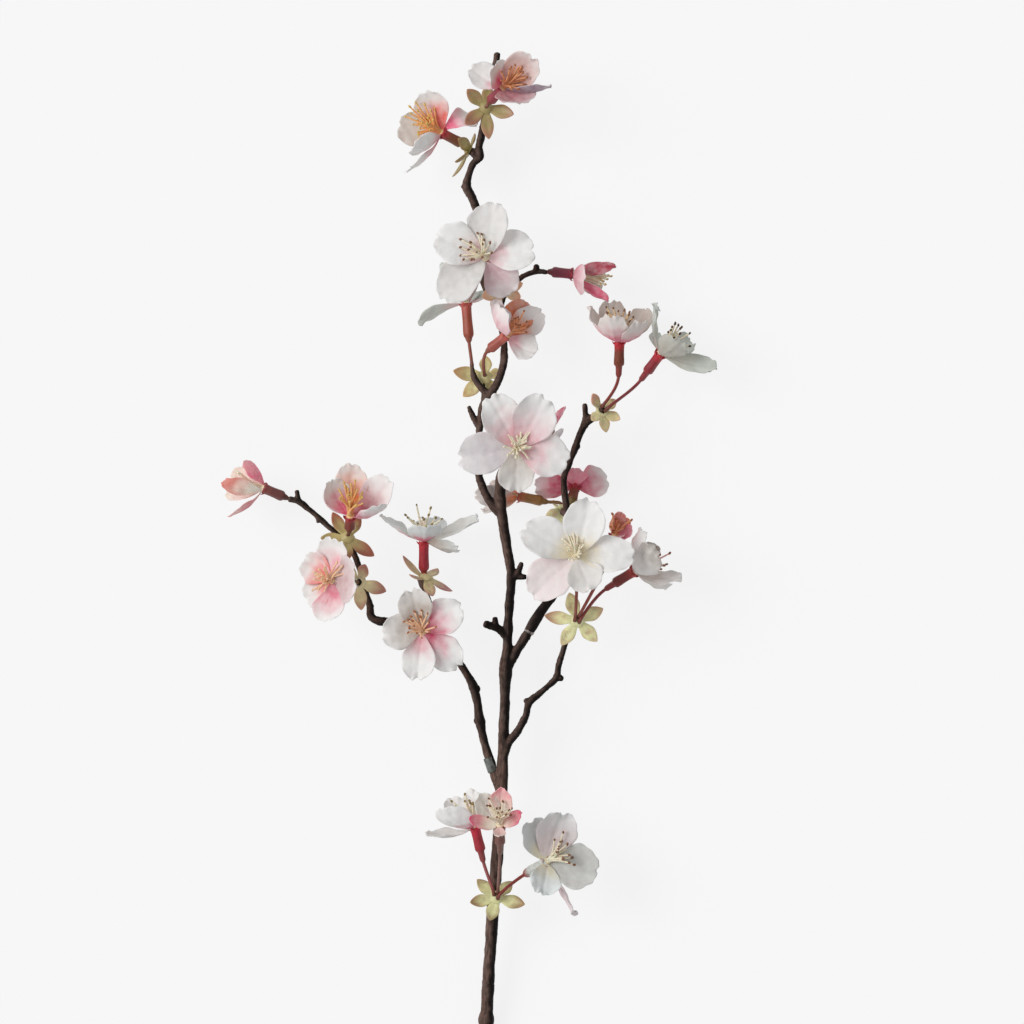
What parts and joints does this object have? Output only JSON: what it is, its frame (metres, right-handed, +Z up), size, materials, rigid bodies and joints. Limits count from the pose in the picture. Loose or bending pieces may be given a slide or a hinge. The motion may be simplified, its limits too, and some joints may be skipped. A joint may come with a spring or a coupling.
{
  "type": "cherry blossom sprig",
  "caption": "Lying sprig of artificial cherry blossom: a brown branch with plug-in twigs, star-shaped green bracts and stalked pink-white five-petalled flowers.",
  "frame": {"origin": "under the middle of the sprig's outline, on the surface that it lies on", "axes": "+Z up from the surface, +Y along the branch from the cut end towards the tip, +X to the right seen from above with the tip away"},
  "size_m": [0.173, 0.3661, 0.0392],
  "materials": {
    "bark": "matt moulded bark, dark brown",
    "bract": "waxy moulded plastic, yellow-green with brownish tips",
    "calyx": "satin moulded plastic, red-brown",
    "petal": "fine white petal cloth with a pink sprayed base"
  },
  "bodies": {
    "root": {"bract_base": "bract", "bract_crook": "bract", "bract_crown": "bract", "bract_left_high": "bract", "bract_left_inner": "bract", "bract_left_mid": "bract", "bract_low_right": "bract", "bract_right": "bract", "bract_right_back": "bract", "bract_top": "bract", "bract_top_left": "bract", "calyx_base_centre": "calyx", "calyx_base_left": "calyx", "calyx_base_right": "calyx", "calyx_centre": "calyx", "calyx_centre_bud": "calyx", "calyx_crown": "calyx", "calyx_crown_back": "calyx", "calyx_crown_low": "calyx", "calyx_left_bud": "calyx", "calyx_left_front": "calyx", "calyx_left_high": "calyx", "calyx_left_inner": "calyx", "calyx_left_mid": "calyx", "calyx_low_right": "calyx", "calyx_middle": "calyx", "calyx_right_back": "calyx", "calyx_right_bud": "calyx", "calyx_right_cup": "calyx", "calyx_right_outer": "calyx", "calyx_small_bud": "calyx", "calyx_stem_back": "calyx", "calyx_top_left": "calyx", "calyx_top_right": "calyx", "left_twig": "bark", "main_stem": "bark", "petals_base_centre": "petal", "petals_base_left": "petal", "petals_base_right": "petal", "petals_centre": "petal", "petals_centre_bud": "petal", "petals_crown": "petal", "petals_crown_back": "petal", "petals_crown_low": "petal", "petals_left_bud": "petal", "petals_left_front": "petal", "petals_left_high": "petal", "petals_left_inner": "petal", "petals_left_mid": "petal", "petals_low_right": "petal", "petals_middle": "petal", "petals_right_back": "petal", "petals_right_bud": "petal", "petals_right_cup": "petal", "petals_right_outer": "petal", "petals_small_bud": "petal", "petals_stem_back": "petal", "petals_top_left": "petal", "petals_top_right": "petal", "right_twig": "bark"}
  },
  "joints": []
}
